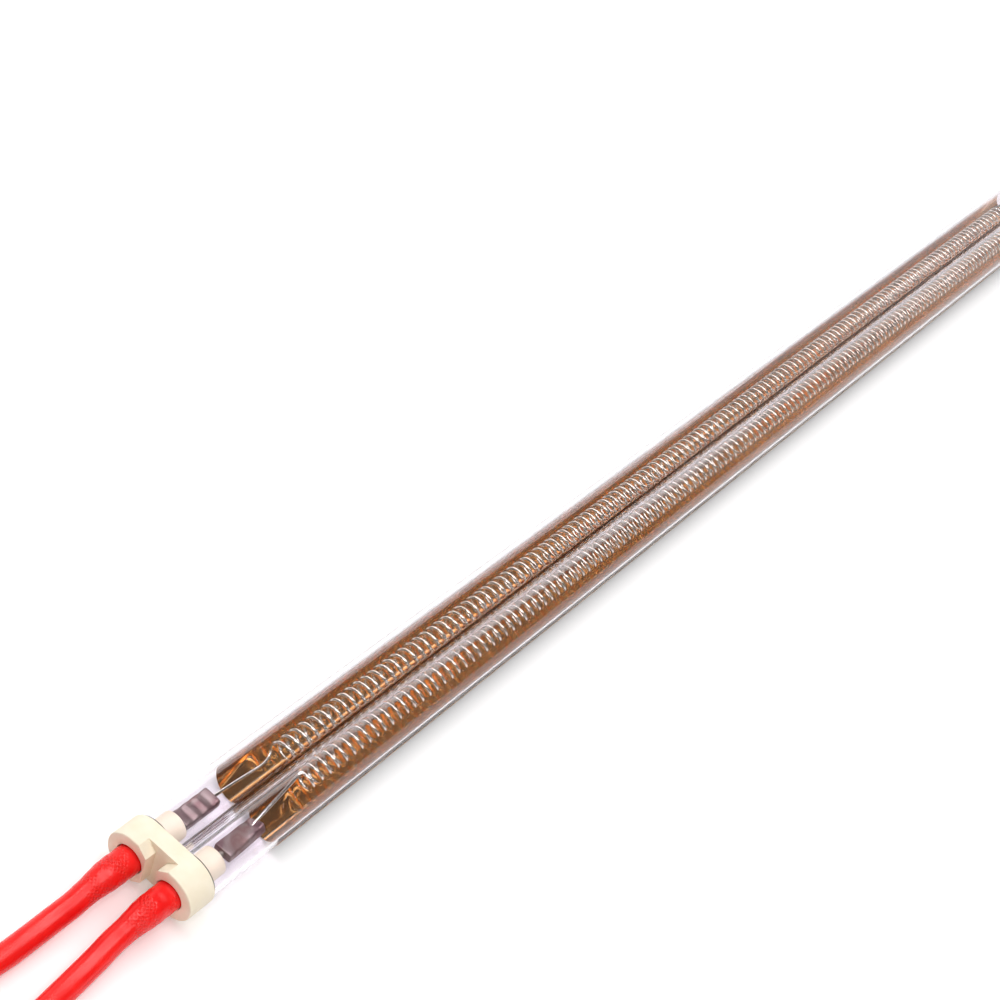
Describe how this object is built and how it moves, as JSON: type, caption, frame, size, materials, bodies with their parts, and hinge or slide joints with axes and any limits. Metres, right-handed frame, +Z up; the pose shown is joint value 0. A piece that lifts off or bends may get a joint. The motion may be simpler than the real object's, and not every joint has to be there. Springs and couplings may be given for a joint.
{
  "type": "quartz heating tube",
  "caption": "Twin-bore quartz infrared heating tube with a gold reflector coat, coiled resistance wires, ceramic end caps and red-sleeved leads at one end.",
  "frame": {"origin": "on the surface that the tube lies on, half way along the tube and midway between its two bores", "axes": "+X along the tube, away from the leads; +Y towards the bore called far; +Z up from the surface, away from the gold coat"},
  "size_m": [0.6295, 0.0276, 0.012],
  "materials": {
    "quartz": "clear, fire-polished",
    "gold": "thin bright gold film",
    "coil_alloy": "drawn resistance wire",
    "ceramic": "unglazed steatite, matte",
    "crimp_steel": "heat-tinted, pressed",
    "nickel": "drawn nickel",
    "red_sleeve": "glossy silicone on glass braid",
    "tinned_copper": "tinned"
  },
  "bodies": {
    "root": {"quartz_tube": "quartz", "gold_reflector": "gold", "heating_coil_far": "coil_alloy", "heating_coil_near": "coil_alloy", "lead_end_cap": "ceramic", "blank_end_cap": "ceramic", "lead_crimp_far": "crimp_steel", "lead_crimp_near": "crimp_steel", "link_crimp_far": "crimp_steel", "link_crimp_near": "crimp_steel", "link_wire": "nickel", "conductor_far": "nickel", "conductor_near": "nickel", "splice_far": "nickel", "splice_near": "nickel", "sleeve_end_far": "red_sleeve", "sleeve_end_near": "red_sleeve", "lead_far": "red_sleeve", "lead_near": "red_sleeve", "strands_far": "tinned_copper", "strands_near": "tinned_copper", "ring_terminal_far": "tinned_copper", "ring_terminal_near": "tinned_copper"}
  },
  "joints": []
}
